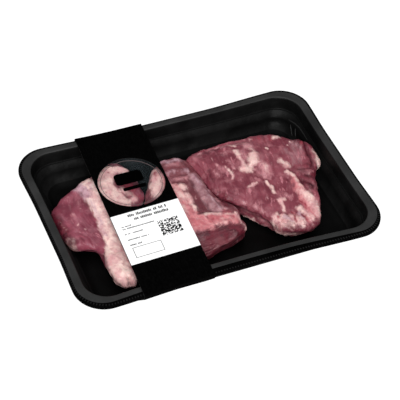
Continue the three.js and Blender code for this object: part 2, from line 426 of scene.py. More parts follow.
def rounded_rectangle(a, b, radius):
    """Points round a rectangle with half sizes a and b, the same count for every ring."""
    signs = [(1, 1), (-1, 1), (-1, -1), (1, -1)]

    def on_corner(k, turn):
        sx, sy = signs[k % 4]
        angle = (k + turn) * math.pi / 2
        return (sx * (a - radius) + radius * math.cos(angle), sy * (b - radius) + radius * math.sin(angle))

    points = []
    for k in range(4):
        points += [on_corner(k, i / CORNER_STEPS) for i in range(CORNER_STEPS + 1)]
        start, end = Vector(on_corner(k, 1)), Vector(on_corner(k + 1, 0))
        steps = SHORT_STEPS if k % 2 else LONG_STEPS
        points += [tuple(start.lerp(end, i / steps)) for i in range(1, steps)]
    return points


def scalar_smooth(low, high, value):
    return float(smoothstep(low, high, np.array(value)))


def flare(x, y, inset):
    """How much the tray's sides and ends bulge at a place, as factors on x and y."""
    fade = max(1 - inset / FLARE_FADE, 0)
    side = scalar_smooth(0.3, 0.85, abs(x) / (TRAY_LENGTH / 2))
    end = scalar_smooth(0.3, 0.75, abs(y) / (TRAY_WIDTH / 2))
    along = 1 + fade * end * FLARE_OF_ENDS / (TRAY_LENGTH / 2)
    across = 1 + fade * side * FLARE_OF_SIDES / (TRAY_WIDTH / 2)
    return along, across


def tray_ring(inset_x, inset_y, z):
    radius = CORNER_RADIUS - CORNER_TIGHTENING * inset_y
    points = []
    for x, y in rounded_rectangle(TRAY_LENGTH / 2 - inset_x, TRAY_WIDTH / 2 - inset_y, radius):
        along, across = flare(x, y, inset_y)
        points.append((x * along, y * across + front_edge(x, y, inset_y, z), z))
    return points


def front_edge(x, y, inset, z):
    """How far the flange's flat part and the wall under it lie further in, along the front."""
    if inset < FLAT_INSET or y > 0:
        return 0
    middle = max(1 - (x / FRONT_EDGE_REACH) ** 2, 0)
    side = scalar_smooth(0.6, 0.9, -y / (TRAY_WIDTH / 2))
    return FRONT_EDGE * middle * side * scalar_smooth(TRAY_TOP - 10, TRAY_TOP - 2, z)


def tray_section():
    """The upper surface as (inset in X, inset in Y, z), from the floor's edge to the rim's skirt."""
    section = []
    for i in range(FILLET_STEPS + 1):
        angle = i / FILLET_STEPS * math.pi / 2
        inset = WALL_FOOT + FLOOR_FILLET * (1 - math.sin(angle))
        z = TRAY_FLOOR + FLOOR_FILLET * (1 - math.cos(angle))
        section.append((FLANGE_AT_ENDS + inset, FLANGE_AT_SIDES + inset, z))
    for inset, depth in WALL_SECTION:
        section.append((FLANGE_AT_ENDS + inset, FLANGE_AT_SIDES + inset, TRAY_TOP - depth))
    for inset, depth in EDGE_SECTION:
        section.append((inset, inset, TRAY_TOP - depth))
    return section


def thickened(section):
    """The lower surface: the section moved out by the plastic's thickness, from the skirt back."""
    under = []
    for i, (inset_x, inset_y, z) in enumerate(section):
        before, after = section[max(i - 1, 0)], section[min(i + 1, len(section) - 1)]
        run, rise = after[1] - before[1], after[2] - before[2]
        scale = PLASTIC / math.hypot(run, rise)
        under.append((inset_x - rise * scale, inset_y - rise * scale, z + run * scale))
    return under[::-1]


def lofted(rings, first, last):
    """Points and faces of a closed skin over rings, with a fan at each end."""
    count = len(rings[0])
    points = [p for ring in rings for p in ring] + [first, last]
    start, end = len(points) - 2, len(points) - 1
    faces = []
    for i in range(count):
        nxt = (i + 1) % count
        faces.append((start, i, nxt))
        for k in range(len(rings) - 1):
            a, b = k * count, (k + 1) * count
            faces.append((a + i, b + i, b + nxt, a + nxt))
        last_ring = (len(rings) - 1) * count
        faces.append((end, last_ring + nxt, last_ring + i))
    return points, faces


def make_tray():
    section = tray_section()
    rings = [tray_ring(*p) for p in section + thickened(section)]
    points, faces = lofted(rings, (0, 0, TRAY_FLOOR), (0, 0, TRAY_FLOOR - PLASTIC))
    shell = mesh_object("tray_shell", points, faces, plastic("inner"))
    for zone in ("flange", "outer", "floor"):
        shell.data.materials.append(plastic(zone))
    shell.data.shade_smooth()
    # Each zone takes its own tone of the one black plastic: painted sheen on the flange, painted shade on
    # the floor, the rolled edge and the underside
    for face in shell.data.polygons:
        face.material_index = tray_zone(face, face.index % (len(rings) + 1) - 1)
    settle(shell, "tray_plastic", "tray")
    make_rim_ribs()
    # Painted highlights: slim ridges of the lighter flange plastic along the back right corner's wall
    folds = joined("corner_highlight_ridges", [highlight_ridge(path) for path in CORNER_HIGHLIGHT_PATHS], plastic("flange"))
    folds.data.shade_smooth()
    settle(folds, "tray_plastic")


def highlight_ridge(path):
    """A slim round ridge along a path, thinner at its ends."""
    corners = [Vector(p) for p in path]
    places = []
    for a, b in zip(corners, corners[1:]):
        places += [a.lerp(b, i / RIDGE_STEPS) for i in range(RIDGE_STEPS)]
    places.append(corners[-1])
    turns = [2 * math.pi * k / RIDGE_SIDES for k in range(RIDGE_SIDES)]
    rings = []
    for i, place in enumerate(places):
        run = (places[min(i + 1, len(places) - 1)] - places[max(i - 1, 0)]).normalized()
        side = run.cross(UP).normalized()
        rise = side.cross(run)
        radius = RIDGE_RADIUS * math.sin(math.pi * (i + 0.5) / len(places)) ** 0.5
        rings.append([tuple(place + radius * (math.cos(t) * side + math.sin(t) * rise)) for t in turns])
    return lofted(rings, tuple(places[0]), tuple(places[-1]))


def tray_zone(face, ring):
    """0 on the walls inside, 1 on the flange, 2 on the rolled edge and underneath, 3 on the floor."""
    if ring > FILLET_STEPS + len(WALL_SECTION):
        return 2
    if face.normal.z > 0.55 and face.center.z / MM > TRAY_TOP - 0.45:
        return 1
    return 3 if face.normal.z > 0.85 else 0


def make_rim_ribs():
    """A knurled line along the flange: short ribs across it, close together."""
    inner = [Vector(p) for p in tray_ring(RIB_INSET + RIB_LENGTH, RIB_INSET + RIB_LENGTH, TRAY_TOP)]
    outer = [Vector(p) for p in tray_ring(RIB_INSET, RIB_INSET, TRAY_TOP - 0.2)]
    parts = []
    for k in range(len(outer)):
        nxt = (k + 1) % len(outer)
        steps = max(round((outer[nxt] - outer[k]).length / RIB_PITCH), 1)
        for i in range(steps):
            a = outer[k].lerp(outer[nxt], i / steps)
            b = inner[k].lerp(inner[nxt], i / steps)
            parts.append(rib(a, b))
    settle(joined("rim_ribs", parts, plastic("rib")), "tray_plastic")


def rib(a, b):
    """A roof-shaped rib from a to b on the flange."""
    across = (b - a).cross(UP).normalized() * (RIB_PITCH * 0.3)
    up, down = RIB_HEIGHT * UP, -0.05 * UP
    points = [a - across + down, a + across + down, b + across + down, b - across + down, a + up, b + up]
    faces = [(0, 1, 2, 3), (0, 4, 1), (1, 4, 5, 2), (2, 5, 3), (3, 5, 4, 0)]
    return [tuple(p) for p in points], faces


# Sleeve


def sleeve_loop(offset):
    """The sleeve's section as (y, z, on the rim), from the top's middle round over the back."""
    edge = TRAY_WIDTH / 2 + CARD_GAP + offset
    fillet_centre = TRAY_WIDTH / 2 - FLANGE_AT_SIDES - WALL_FOOT - FLOOR_FILLET
    fillet_radius = FLOOR_FILLET + PLASTIC + CARD_GAP + offset
    top = CARD_TOP - CARD + offset
    half = [(y, top, True) for y in range(4, 86, 4)]
    half += [(edge - 0.5, top, True), (edge - 0.15, top - 0.12, True), (edge, top - 0.5, True)]
    half += [(edge, TRAY_TOP - 3.6, True)]
    for turn in range(-36, -91, -6):
        angle = math.radians(turn)
        y = fillet_centre + fillet_radius * math.cos(angle)
        half.append((y, TRAY_FLOOR + FLOOR_FILLET + fillet_radius * math.sin(angle), False))
    half += [(y, CARD_BOTTOM + CARD - offset, False) for y in range(55, 0, -11)]
    front = [(-y, z, rim) for y, z, rim in reversed(half)]
    return [(0, top, True), *half, (0, CARD_BOTTOM + CARD - offset, False), *front]


def make_sleeve():
    """The card band with its round window, as two skins joined along the long edges."""
    last = STATIONS - 1
    points = []
    loops = [sleeve_loop(0), sleeve_loop(CARD)]
    count = len(loops[0])
    for loop in loops:
        for y, z, rim in loop:
            for j in range(STATIONS):
                x = SLEEVE_CENTRE + (j / last - 0.5) * SLEEVE_WIDTH + SLEEVE_SKEW * y
                across = flare(x, y, 0)[1] if rim else 1
                points.append((x, y * across, z))

    def at(face, m, j):
        return (face * count + m % count) * STATIONS + j

    faces = []
    for m in range(count):
        for j in range(last):
            faces.append((at(1, m, j), at(1, m, j + 1), at(1, m + 1, j + 1), at(1, m + 1, j)))
            faces.append((at(0, m, j), at(0, m + 1, j), at(0, m + 1, j + 1), at(0, m, j + 1)))
        faces.append((at(0, m, 0), at(1, m, 0), at(1, m + 1, 0), at(0, m + 1, 0)))
        faces.append((at(0, m, last), at(0, m + 1, last), at(1, m + 1, last), at(1, m, last)))
    sleeve = mesh_object("sleeve_band", points, faces, black_card())
    sleeve.data.materials.append(card_core())
    cutter = disc("window_cutter", WINDOW_RADIUS, CARD_TOP - 3, CARD_TOP + 3, black_card())
    cut = sleeve.modifiers.new("window", "BOOLEAN")
    cut.object = cutter
    cut.operation = "DIFFERENCE"
    apply_modifiers(sleeve)
    bpy.data.objects.remove(cutter)
    show_cut_edges(sleeve)
    settle(sleeve, "sleeve_card", "sleeve")


def show_cut_edges(sleeve):
    """The card's grey core shows at the window's edge and at the sleeve's two long edges."""
    for face in sleeve.data.polygons:
        centre = face.center / MM
        round_window = math.hypot(centre.x - WINDOW[0], centre.y - WINDOW[1]) < WINDOW_RADIUS + 0.1
        if (abs(face.normal.z) < 0.3 and round_window) or abs(face.normal.x) > 0.9:
            face.material_index = 1


def window_ring(radius, z):
    turns = [i / WINDOW_STEPS * 2 * math.pi for i in range(WINDOW_STEPS)]
    return [(WINDOW[0] + radius * math.cos(t), WINDOW[1] + radius * math.sin(t), z) for t in turns]


def disc(name, radius, low, high, material):
    """An upright disc at the window, with a little rounding at its edges."""
    edge = min(0.1, (high - low) / 3)
    profile = [(radius - edge, high), (radius, high - edge), (radius, low + edge), (radius - edge, low)]
    points, faces = lofted([window_ring(r, z) for r, z in profile], (*WINDOW, high), (*WINDOW, low))
    return mesh_object(name, points, faces, material)


# Label and print


def label_point(u, v):
    """A place on the label: u from its left to its right edge, v from its front to its back edge."""
    y = LABEL_FRONT + v
    side = u - SLEEVE_WIDTH / 2
    return SLEEVE_CENTRE + side + SLEEVE_SKEW * y, y + side * LABEL_SLANT


def slab(outline, low, high):
    """Points and faces of a flat slab over an outline in X and Y."""
    count = len(outline)
    points = [(x, y, z) for z in (high, low) for x, y in outline]
    faces = [tuple(range(count)), tuple(range(2 * count - 1, count - 1, -1))]
    for i in range(count):
        nxt = (i + 1) % count
        faces.append((i, i + count, nxt + count, nxt))
    return points, faces


def label_slab(outline, low, high):
    return slab([label_point(u, v) for u, v in outline], low, high)


def ink_box(u0, v0, u1, v1):
    return label_slab([(u1, v1), (u0, v1), (u0, v0), (u1, v0)], LABEL_TOP, INK_TOP)


def rounded_outline(u0, v0, u1, v1, radius, steps):
    left, right, front, back = u0 + radius, u1 - radius, v0 + radius, v1 - radius
    outline = []
    for k, (cu, cv) in enumerate([(right, back), (left, back), (left, front), (right, front)]):
        for i in range(steps + 1):
            angle = (k + i / steps) * math.pi / 2
            outline.append((cu + radius * math.cos(angle), cv + radius * math.sin(angle)))
    return outline


def joined(name, parts, material):
    points, faces = [], []
    for part_points, part_faces in parts:
        first = len(points)
        points += part_points
        faces += [tuple(i + first for i in face) for face in part_faces]
    return mesh_object(name, points, faces, material)


def text_bar(u, v, length, height, rng, stroke):
    """A line of print as short upright strokes, standing for words without any letters."""
    parts = []
    place = u
    while place < u + length:
        if rng.random() < WORD_GAPS:
            place += stroke * 1.6
            continue
        tall = height * rng.uniform(0.72, 1)
        wide = stroke * rng.uniform(0.8, 1.25)
        parts.append(ink_box(place, v, place + wide, v + tall))
        place += wide + stroke * 0.42
    return parts


def thin_frame(u0, v0, u1, v1):
    bars = [(u0, v0, u1, v0 + FRAME_LINE), (u0, v1 - FRAME_LINE, u1, v1)]
    bars += [(u0, v0, u0 + FRAME_LINE, v1), (u1 - FRAME_LINE, v0, u1, v1)]
    return [ink_box(*bar) for bar in bars]


def code_cells(rng):
    """A square of random dark cells. It holds no data."""
    u0, v0, u1, v1 = CODE_BOX
    cell_u, cell_v = (u1 - u0) / CODE_CELLS, (v1 - v0) / CODE_CELLS
    parts = []
    for i in range(CODE_CELLS):
        for j in range(CODE_CELLS):
            if rng.random() < CODE_FILL:
                a, b = u0 + i * cell_u, v0 + j * cell_v
                parts.append(ink_box(a, b, a + cell_u, b + cell_v))
    return parts


def make_label():
    outline = rounded_outline(0.2, 0, SLEEVE_WIDTH - 0.2, LABEL_DEPTH, 0.4, 4)
    points, faces = label_slab(outline, LABEL_BOTTOM, LABEL_TOP)
    settle(mesh_object("label_sheet", points, faces, label_paper()), "label_paper", "label")
    rng = random.Random(11)
    title = [part for bar in TITLE_BARS for part in text_bar(*bar, rng, TITLE_STROKE)]
    settle(joined("title_bars", title, ink("title_ink", srgb(4, 4, 6), srgb(24, 24, 26))), "label_paper")
    small = [part for bar in TEXT_BARS for part in text_bar(*bar, rng, TEXT_STROKE)]
    settle(joined("text_bars", small, ink("text_ink", srgb(30, 30, 32), srgb(64, 64, 66))), "label_paper")
    box = thin_frame(*FRAME_BOX)
    settle(joined("box_line", box, ink("line_ink", grey(70), grey(100))), "label_paper")
    code = code_cells(rng)
    settle(joined("cell_square", code, ink("cell_ink", srgb(10, 10, 12), srgb(40, 40, 42))), "label_paper")


# Window film and its plain print


def window_slab(box, radius):
    outline = [(WINDOW[0] + u + SLEEVE_SKEW * v, WINDOW[1] + v) for u, v in rounded_outline(*box, radius, 6)]
    return slab(outline, FILM_TOP, WINDOW_INK_TOP)


def make_film():
    film = disc("film_disc", FILM_RADIUS, FILM_TOP - FILM_THICKNESS, FILM_TOP, clear_film())
    settle(film, "clear_film", "window_film")
    black = ink("badge_ink", grey(0), grey(5), 0.0)
    parts = [window_slab(BADGE, 3.0), window_slab(BADGE_BAR, 1.2)]
    settle(joined("plain_badge", parts, black), "sleeve_card")
    make_ring_line()


def make_ring_line():
    """A thin darker ring line on the film, a little inside the window's edge."""
    low, high, outer = FILM_TOP, WINDOW_INK_TOP, RING_RADIUS + RING_WIDTH
    profile = [(RING_RADIUS, low), (RING_RADIUS, high), (outer, high), (outer, low)]
    points = [p for r, z in profile for p in window_ring(r, z)]
    faces = []
    for k in range(len(profile)):
        a, b = k * WINDOW_STEPS, (k + 1) % len(profile) * WINDOW_STEPS
        for i in range(WINDOW_STEPS):
            nxt = (i + 1) % WINDOW_STEPS
            faces.append((a + i, a + nxt, b + nxt, b + i))
    ring = mesh_object("ring_line", points, faces, ink("ring_ink", srgb(96, 84, 84), srgb(128, 110, 110)))
    ring.data.shade_smooth()
    settle(ring, "clear_film")


# Meat

# Marks of tissue on a cut, as (radius, strength, points in X and Y, or in X, Y and Z). The dark marks are
# mostly painted shade, two pale marks on the right cut paint light on a shaded edge, and some small light
# marks paint glints.
LEFT_MARKS = {
    "pale": [(1.8, 0.6, (-104, 14), (-103, 11)), (2, 0.6, (-94, 27), (-96, 23))],
    # The dark marks here are painted shade on the left end and the lower left edge, with some real deep
    # maroon lean
    "dark": [
        (5.5, 0.85, (-118, 20, 18), (-118, 8, 18), (-116, -2, 17), (-112, -8, 13)),
        (3, 0.6, (-118, 28, 18), (-116, 33, 20)), (3.6, 0.85, (-112, -5, 9), (-106, -13, 6), (-98, -19, 6)),
    ],
    "silver": [(2.6, 0.35, (-112, -9, 9), (-104, -15, 9))],
    "pink": [(4.5, 1, (-77, -10), (-79, -24), (-79, -36), (-81, -48))],
    "fat": [
        (2.2, 0.7, (-80, 20), (-80, 6), (-81, -8), (-83, -22)),
        (8.5, 0.9, (-86, -32), (-87, -46), (-86, -62)),
        (7, 0.9, (-95, -36, 10), (-95, -46, 9), (-92, -58, 8)),
        (9, 1, (-64, 50), (-69, 40), (-70, 28), (-66, 16), (-66, 0)),
        (4.2, 0.85, (-60, 50), (-52, 49), (-46, 44)),
        (4, 0.55, (-77, -8), (-79, -24), (-79, -38), (-80, -50)),
        (8, 0.9, (-68, -8), (-71, -24), (-72, -40)), (0.9, 0.8, (-103, 4)), (0.8, 0.7, (-105, -4)),
        (0.8, 0.7, (-96, 18)), (0.9, 0.7, (-99, -2)), (2.6, 0.8, (-57, 26), (-53, 21)),
        (3.4, 0.9, (-61, 15), (-55, 13), (-51, 14)),
    ],
    "cream": [
        (6.2, 1, (-81, 48), (-82, 34), (-82, 20), (-82, 8), (-82, -4)),
        (5.6, 1, (-82, -4), (-83, -16), (-84.5, -28)), (5.5, 0.7, (-86, -46), (-85, -60)),
        (3, 0.6, (-113, -6, 14), (-108, -11, 14)),
    ],
    "lilac": [
        (2.2, 0.6, (-86, 24), (-85.5, 12), (-86, 2), (-86, -12)),
        (4.6, 0.95, (-89, 43), (-87, 37), (-86, 31)), (3, 0.6, (-80, 44), (-80, 36)),
    ],
    "red": [
        (1.5, 0.5, (-82, -43), (-83, -48)), (3.6, 0.75, (-55, 35), (-51, 30), (-48, 25)),
        (3.2, 0.6, (-46, 17), (-42, 13)), (1, 0.55, (-72, 39), (-73, 32)), (1, 0.5, (-71, 27), (-68, 22)),
        (0.9, 0.5, (-66, 46), (-61, 49)),
    ],
}

MIDDLE_MARKS = {
    "pale": [
        (2.2, 0.7, (24, -38, 21), (26, -37, 15)), (1.3, 0.65, (-16, -53, 13), (0, -52, 14), (10, -49, 14)),
        (1.4, 0.6, (-20, -55, 6), (-8, -52, 6), (3, -49, 6), (16, -45, 6)), (3, 0.7, (-12, 38), (-4, 37)),
        (2.4, 0.6, (-14, 22), (-8, 21), (-3, 20)), (2.4, 0.7, (-17, 28), (-18, 20)),
    ],
    # The dark marks here are painted shade on the front face, along its top edge, in creases of the top and
    # in the seam by the right cut; the two faint marks on the top are darker muscle
    "dark": [
        (4, 0.3, (-5, 7), (-3, 4)), (4.4, 0.3, (-3, -4), (-3, -11), (-3, -17)),
        (7, 0.75, (-24, -46, 22), (-8, -46, 22), (8, -44, 22), (18, -44, 20)),
        (2.4, 1, (-15, -43), (-4, -42.5), (4, -42)), (2.2, 1, (8, -41.5), (15, -41)),
        (7, 0.6, (-24, -54, 12), (-4, -52, 11), (14, -46, 10), (24, -40, 9)),
        (3.5, 0.9, (20, -42, 16), (20, -43, 9)), (2.2, 0.5, (-12, 34), (-5, 33), (1, 30)),
        (2.6, 0.5, (-9, 25), (-3, 24)), (2.2, 0.5, (-12, 18), (-5, 16)),
        (3.2, 0.9, (17, 6, 20), (15.5, -4, 20), (17, -13), (19, -20)),
    ],
    "silver": [
        (5.4, 1, (5, 20), (5.5, 12), (6, 3), (6.5, -6), (7.5, -16), (8, -20)),
        (2.6, 0.7, (-20, -50, 17), (-6, -49.5, 17)), (1.8, 0.5, (14, -21), (20, -22), (26, -22)),
    ],
    "pink": [
        (5, 1, (-16, 12), (-16, 3), (-15, -8), (-13, -18)), (3.4, 0.9, (-21, -10), (-19, -22), (-20, -34)),
        (2.6, 0.8, (-21, 27), (-23, 16)), (5.4, 1, (-15, -25), (-8, -28), (2, -31), (10, -32), (18, -34)),
        (4, 1, (-16, -33), (-10, -34), (-4, -36)),
    ],
    "fat": [
        (3.6, 0.65, (-15, 13), (-14, 4), (-13, -4)), (2.4, 0.85, (-10, 3), (-9, -6), (-9.5, -16)),
        (2.8, 1, (-10.5, 13), (-9.5, 9.5)), (4.2, 0.65, (-22, 10), (-20, -2), (-19, -14)),
        (5, 0.85, (-26, 36), (-27, 24), (-31, 13)), (3, 0.9, (-31, 32), (-33, 22)),
        (2.2, 0.9, (-3, -23), (3, -24), (8, -25.5)), (1.6, 0.6, (14, -27), (19, -29)),
        (2.2, 0.5, (-12, -27), (-5, -28)), (2, 0.5, (8, -31), (16, -32)),
        (2.2, 0.4, (-12, -35), (0, -36.5), (12, -36)), (2.2, 0.85, (21, -28), (24, -34), (25, -42)),
    ],
    "lilac": [
        (3.4, 0.5, (4, 22), (5, 15), (5.5, 9)), (1.6, 0.6, (9, 4), (9.5, -8), (11, -19)),
        (3, 0.85, (-15, 46), (-8, 43.5), (0, 43)), (3.4, 0.45, (-14, 30), (-6, 28.5), (2, 27)),
    ],
    "red": [
        (2, 0.6, (-24, 34), (-26, 26)), (2.6, 0.6, (-3, -28), (1, -29.5), (4, -30)),
        (1.5, 0.55, (14, -29), (18, -31)), (2, 0.5, (12, -24), (17, -25.5)),
    ],
}

RIGHT_MARKS = {
    "pale": [
        (5, 0.7, (60, 34), (59, 41)), (4.5, 0.55, (52, 24), (53, 30)), (3.5, 0.5, (37, 33), (42, 36)),
        (3, 0.7, (56, 8), (57, 4)), (3, 0.55, (69, -24), (72, -28)),
        (5, 0.85, (63, 13), (64, 7), (62.5, 1)), (1.6, 0.7, (51, -1), (54, -3)),
        (2.4, 0.5, (60, -34), (63, -38)), (4.5, 0.75, (66, -50), (74, -54)), (4, 0.8, (51, -44), (56, -47)),
        # Painted light: the mark on the next line and the first mark on the line after it lighten the shaded
        # lower left edge of the right cut
        (3.2, 0.62, (33, -19, 13), (38, -25, 12), (43, -33, 11), (49, -41, 11)),
        (2.6, 0.55, (34, -19), (39, -25), (43, -32)), (1.5, 0.7, (30, 18), (32, 12)),
        (2.2, 0.65, (22, 18), (24, 12)), (1.4, 0.65, (26, 24), (27, 19)), (1.6, 0.65, (38, 24), (39, 16)),
        (1.3, 0.9, (97, -6), (102, -7)), (2.4, 0.8, (30, 46), (42, 44.5), (52, 43)),
        (2.6, 0.65, (20, 44), (12, 38)),
    ],
    # The dark marks here are mostly painted shade on the lower front, in the seam by the middle cut and in
    # the creases of the right end
    "dark": [
        (3.2, 0.6, (54, -49, 4), (58, -51, 3)), (2.6, 0.9, (67, -55, 3), (71, -55, 3)),
        (2.8, 0.8, (48, -42, 8), (50, -45, 8)), (2.4, 0.8, (74, -54, 9), (82, -51, 9), (88, -47, 9)),
        (3, 0.8, (19, 5, 20), (22, -6, 20), (26, -13, 18)),
        (3.5, 0.7, (18, -2, 12), (26, -10, 12), (32, -18, 12)),
        (1.6, 0.75, (18.5, 21), (17.5, 15), (18, 10)), (3.6, 0.85, (88, -13), (91, -18), (93, -23)),
        (2.6, 0.8, (94, -10), (98, -14)), (3, 0.85, (100, 2), (104, -1)),
        (2.6, 0.85, (101, -8), (103, -15)), (3, 0.5, (88, 4), (92, 0)),
        (7, 0.4, (95, 4), (98, -8), (98, -18)), (4.8, 1, (104.5, 26), (106, 23)),
        (2.6, 0.95, (107, 19), (107, 12), (106, 4)), (4, 0.9, (108, 30, 20), (112, 24, 19)),
    ],
    "silver": [(5.5, 0.5, (98, 28), (100, 20), (97, 12), (93, 8)), (4, 0.5, (90, 22), (92, 16))],
    "pink": [
        (2.8, 1, (83, -9), (83, -14), (82, -19)), (3.8, 1, (82, -20), (83, -26)),
        (4.2, 0.85, (82, -30), (82, -40), (80, -50)), (1.8, 0.8, (56, -42), (55, -48)),
        (1.8, 0.8, (67, -43), (68, -51)),
    ],
    "fat": [
        (1.7, 0.95, (47.5, 33), (48.8, 27), (48.4, 21), (48, 16)), (3.6, 1, (47, 12.5), (49.5, 10)),
        (2.6, 0.95, (52, 12.5), (55, 14.5)), (4, 1, (57.5, 17), (60, 21), (60.5, 24)),
        (2.2, 0.7, (62, 27), (61, 31)), (2.2, 0.55, (62.5, 14), (65, 9), (64, 4)),
        (2.6, 1, (80.5, 12), (83, 8), (84, 5)), (1.2, 1, (75, 29.5)), (2.2, 0.9, (87, 39.5), (90, 38.5)),
        (1.5, 1, (59.5, -6), (61, -10.5), (60.8, -19)), (1.4, 0.8, (42, -7.5), (46, -6), (50.5, -5.5)),
        (1.8, 1, (61, -28), (65, -27.5)), (1.6, 0.85, (61.5, -30), (61.5, -38.5)),
        (1.9, 1, (80, -1.5), (82.5, -4.5), (83, -9)), (1.6, 0.85, (83.5, -12), (83.5, -20)),
        (3.8, 0.8, (83, -25), (86, -29)), (5.5, 0.66, (86, -31), (87, -40), (86, -50)),
        (2.4, 0.9, (74, -40), (77, -46), (80, -53)), (3.4, 0.75, (77, -53, 12), (85, -50, 12)),
        (2.4, 0.65, (60, -43), (66, -46), (70, -50)),
        (5, 0.65, (76, -52, 15), (84, -50, 15), (90, -44, 15)),
        (1.5, 0.9, (37, -17, 6), (44, -28, 6), (50, -40, 5)),
        (1.1, 0.8, (32.5, 19), (34, 14), (34.5, 9.5), (33.5, 6)),
        (1.2, 0.75, (103, -12, 16), (101, -20, 16), (99, -28, 16)), (1.2, 0.85, (94, 27)),
        (1, 0.8, (97, 31)), (1.3, 0.7, (46, 42), (49, 39)),
    ],
    "cream": [
        (2.6, 0.7, (88, -33), (88, -37)), (5, 0.52, (53, -44), (59, -48), (65, -50), (72, -52)),
        (4, 0.55, (51, -43, 17), (59, -50, 16), (69, -53, 16)),
        (3.6, 0.7, (53, -47, 11), (61, -52, 11), (69, -54, 11)), (4, 0.6, (55, -48), (62, -52), (70, -55)),
        (4.4, 1, (113, 14, 18), (113, 8, 17), (112, 3, 16)),
    ],
    "lilac": [(2.6, 0.75, (59, -45), (62, -50)), (2.2, 0.7, (71, -46), (72, -51))],
    "red": [
        (5.5, 0.42, (73, 40), (80, 40)), (1.4, 0.8, (78.5, -33), (79.5, -37), (80, -41)),
        (1.6, 0.8, (74, -48), (74.5, -51), (75, -55)), (1.1, 0.75, (66, -41), (66.5, -47), (65, -53)),
        (1.6, 0.7, (53, -43), (55, -49, 16)), (2.5, 0.7, (60, -53, 3), (66, -54, 3)),
        (1.8, 0.6, (106, 24.5)), (2, 0.6, (93, -25, 18), (93, -33, 17)),
    ],
}

# Swellings and grooves on a cut, as (height, radius, points)
LEFT_FORMS = [
    (5.3, 7.5, (-117, 24, 19), (-118, 10, 20), (-117, -1, 20), (-110, -12, 17)),
    (4.4, 6, (-105, 36, 19), (-98, 42, 20)), (2.6, 7, (-88, 49, 20), (-76, 54, 20)),
    (3.4, 5, (-117, 8, 8), (-114, -2, 8), (-110, -9, 8)), (-3.2, 5.5, (-96, -31, 5), (-95, -42, 5)),
    (-2.8, 5, (-94, -51, 5), (-91, -60, 5)), (-2.4, 4.5, (-108, -11, 4), (-102, -15, 4)),
    (1.6, 3.2, (-89, -64)), (1.2, 3.2, (-80, -62)), (-2.4, 1.6, (-84.5, -68), (-84.5, -60)),
    (-0.9, 1.4, (-89.5, 38), (-89, 20), (-88.5, 0), (-88, -14), (-88.5, -23), (-94, -36)),
    (1.2, 11, (-99, 15)), (0.9, 5, (-86, -40), (-87, -54)), (-1.4, 2.2, (-112, -8), (-104, -12)),
    (-1, 1.5, (-52, 30), (-56, 14)),
]
MIDDLE_FORMS = [
    (4.2, 8, (13, -46, 8), (18, -44, 8), (24, -40, 8)), (2.6, 6, (-10, -52, 5), (2, -50, 5)),
    (-5.6, 6, (32, -25, 11), (30, -30, 16), (28, -34, 20)),
    (1, 3, (-18, -38), (-6, -37.5), (5, -36.5), (14, -36)),
    (-1.3, 1.4, (10.5, 12), (11, 0), (12, -10), (14, -20)),
    (-1, 1.3, (0.5, 18), (0.5, 4), (2, -8), (3.5, -20)), (0.7, 3, (5.5, 18), (6, 0), (8, -17)),
    (-1.1, 1.5, (-8, -20.5), (0, -21), (8, -22.5), (16, -23)),
    (-0.9, 1.3, (-11, 0), (-10, -10), (-12, -20)), (-0.5, 1.2, (-15, 26.5), (-8, 25), (-1, 24)),
    (-0.4, 1.2, (-16, 35), (-8, 33), (0, 31)), (-0.5, 1.2, (-15, 19), (-9, 17.5), (-4, 16)),
    (-0.8, 1.8, (-2, -28.5), (3, -30)),
]
RIGHT_FORMS = [
    (2.8, 4, (104, 28), (106, 24)), (2.8, 4.5, (111, 18, 18), (112.5, 12, 17.5), (112.5, 6, 16)),
    (1.8, 5, (109, 29, 20), (111, 22, 19)), (-3.4, 5, (18, 43), (32, 46), (46, 47), (62, 46)),
    (-1.8, 6, (30, 50, 18), (50, 54, 20), (72, 53, 20)),
    (-2.4, 6, (99, -28, 12), (94, -38, 12), (91, -45, 12)),
    (-2.8, 5, (70, -54, 4), (76, -52, 4), (82, -48, 4)), (3.4, 3.5, (112, -3, 10), (113, 1, 11)),
    (3.2, 6.5, (36, -14, 5), (40, -22, 5), (44, -29, 5)),
    (3.4, 6, (54, -47, 12), (62, -51, 12), (72, -53, 12), (82, -50, 12)),
    (-1, 5, (106, -4, 14), (105, -16, 12)), (1.6, 5, (47, -35, 5), (50, -42, 5)),
    (-1.8, 1.6, (108.5, 24), (108.5, 16), (107.5, 8), (106, 0)),
    (1.3, 2.8, (83, -6), (82.5, -18), (84, -28)), (-1.2, 1.5, (79, -8), (78.5, -20), (79, -32)),
    (-1.4, 1.8, (87, -8), (88, -20), (91, -30)), (1, 4, (87, -34), (86, -48)),
    (-1.1, 1.3, (78.5, -33), (80, -41)), (-1.3, 1.5, (73, -46), (75, -55)),
    (-0.9, 1.3, (56, -38), (55, -44), (54, -48)), (-1, 1.3, (62, -41), (62, -47), (62, -51)),
    (-0.9, 1.3, (68, -43), (69, -50)), (-1.6, 1.6, (51, -47, 10), (53, -45, 18)),
    (-1.4, 1.4, (63, -53, 8), (65, -52, 17)), (1.2, 2.4, (58, -51, 8)), (1, 2.2, (68, -54, 8)),
    (-1.3, 1.6, (94, -8), (101, -11)), (-1.2, 1.5, (92, 0), (103, -2)), (-1.2, 1.6, (89, -14), (95, -20)),
    (1, 2.4, (98, -5), (103, -6)), (1, 2.4, (97, -16), (101, -20)), (0.7, 4, (58, 19), (61, 25)),
    (0.6, 3, (46.5, 14)), (-0.8, 1.3, (18.5, 26), (17.5, 15), (18, 8)),
    (-0.8, 1.3, (39, -6), (37, -16), (31, -24)), (-0.7, 1.6, (53, 22), (54, 28)),
]

